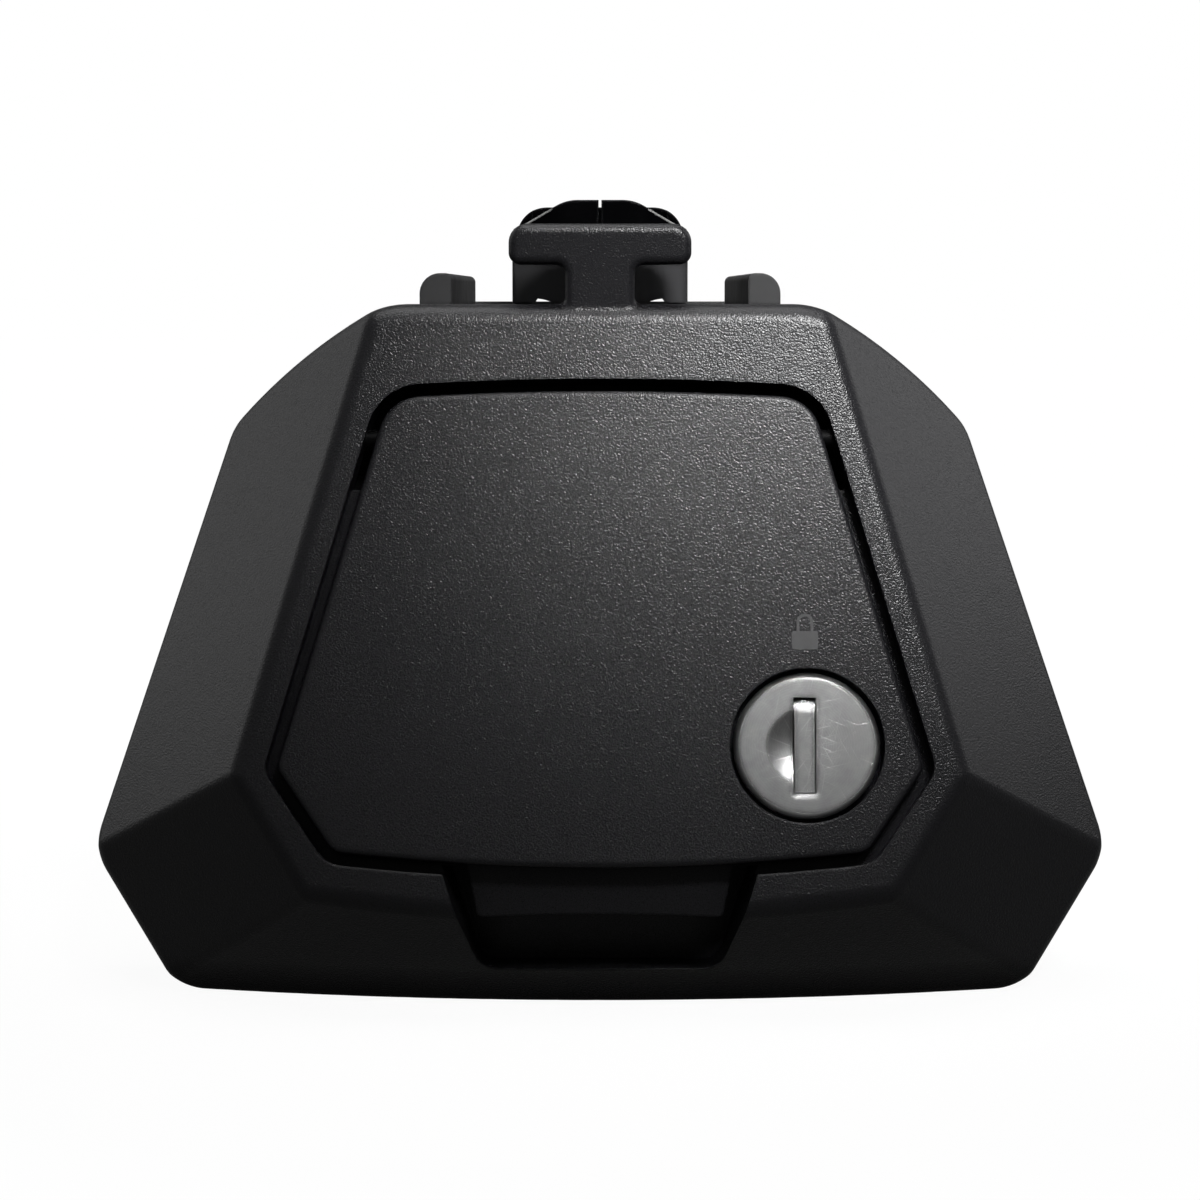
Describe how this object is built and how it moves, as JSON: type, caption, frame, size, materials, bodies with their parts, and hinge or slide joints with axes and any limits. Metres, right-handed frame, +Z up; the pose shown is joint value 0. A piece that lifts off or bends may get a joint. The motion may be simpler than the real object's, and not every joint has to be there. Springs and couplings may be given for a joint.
{
  "type": "roof bar foot",
  "caption": "Faceted black foot that clamps a roof bar to a raised roof rail with a strap and lever, behind a hinged locking flap.",
  "frame": {"origin": "under the middle of the foot, on the plane of the shield's lower rim and the strap's lowest line", "axes": "+X along the roof rail, -Y out to the side of the car (the flap's side), +Z up"},
  "size_m": [0.1444, 0.0973, 0.1128],
  "materials": {
    "grained_plastic": "fine moulded grain, black",
    "core_plastic": "glass-filled nylon, black",
    "rubber": "matt black rubber",
    "soft_grey": "smooth dark grey elastomer",
    "coated_steel": "glossy black dip coat",
    "spring_steel": "bare spring steel",
    "zinc_steel": "bright zinc plate",
    "bronze": "sintered bronze",
    "lock_metal": "satin nickel on zinc"
  },
  "bodies": {
    "foot": {"front_shield": "grained_plastic", "saddle": "core_plastic", "shield_screws": "zinc_steel", "rail_pad": "rubber", "strap_band": "spring_steel", "strap_sleeve": "rubber", "anchor_pin": "zinc_steel", "anchor_clips": "spring_steel", "bar_bracket": "coated_steel", "bar_rest_left": "soft_grey", "bar_rest_right": "soft_grey", "pivot_pin": "zinc_steel", "pivot_clips": "spring_steel", "tension_nut": "zinc_steel"},
    "flap": {"lid_panel": "grained_plastic", "lid_hinge_pins": "zinc_steel"},
    "lock": {"lock_cylinder": "lock_metal", "lock_ring": "spring_steel", "lock_cam": "zinc_steel", "cam_screw": "zinc_steel", "shutter_pin": "zinc_steel"},
    "shutter": {"key_shutter": "lock_metal"},
    "lever": {"tension_lever": "coated_steel", "lever_bush": "bronze"},
    "shoe": {"thrust_shoe": "zinc_steel"},
    "bolt": {"tension_bolt": "zinc_steel"}
  },
  "joints": [
    {"name": "flap_hinge", "type": "hinge", "parent": "foot", "child": "flap", "pos_m": [0, -0.03285, 0.07946], "axis": [-1, 0, 0], "range_deg": [0, 85]},
    {"name": "lock_turn", "type": "hinge", "parent": "flap", "child": "lock", "pos_m": [0.0283, -0.0443, 0.0381], "axis": [0, 0.9781, -0.2079], "range_deg": [0, 90]},
    {"name": "shutter_flap", "type": "hinge", "parent": "lock", "child": "shutter", "pos_m": [0.02794, -0.0415, 0.04287], "axis": [1, 0, 0], "range_deg": [0, 35], "stiffness_Nm_per_rad": 0.0005},
    {"name": "shoe_advance", "type": "slide", "parent": "foot", "child": "shoe", "axis": [0, 1, 0], "range_m": [-0.00568, 0]},
    {"name": "bolt_spin", "type": "hinge", "parent": "shoe", "child": "bolt", "pos_m": [0, -0.019, 0.07], "axis": [0, 1, 0], "range_deg": [-1620, 0]},
    {"name": "lever_swing", "type": "hinge", "parent": "foot", "child": "lever", "pos_m": [0, 0.009, 0.053], "axis": [-1, 0, 0], "range_deg": [-17.3, 0]}
  ],
  "couplings": [
    {"joint": "shoe_advance", "follows": "bolt_spin", "m_per_rad": 0.00019894},
    {"joint": "lever_swing", "follows": "bolt_spin", "ratio": 0.010617}
  ]
}
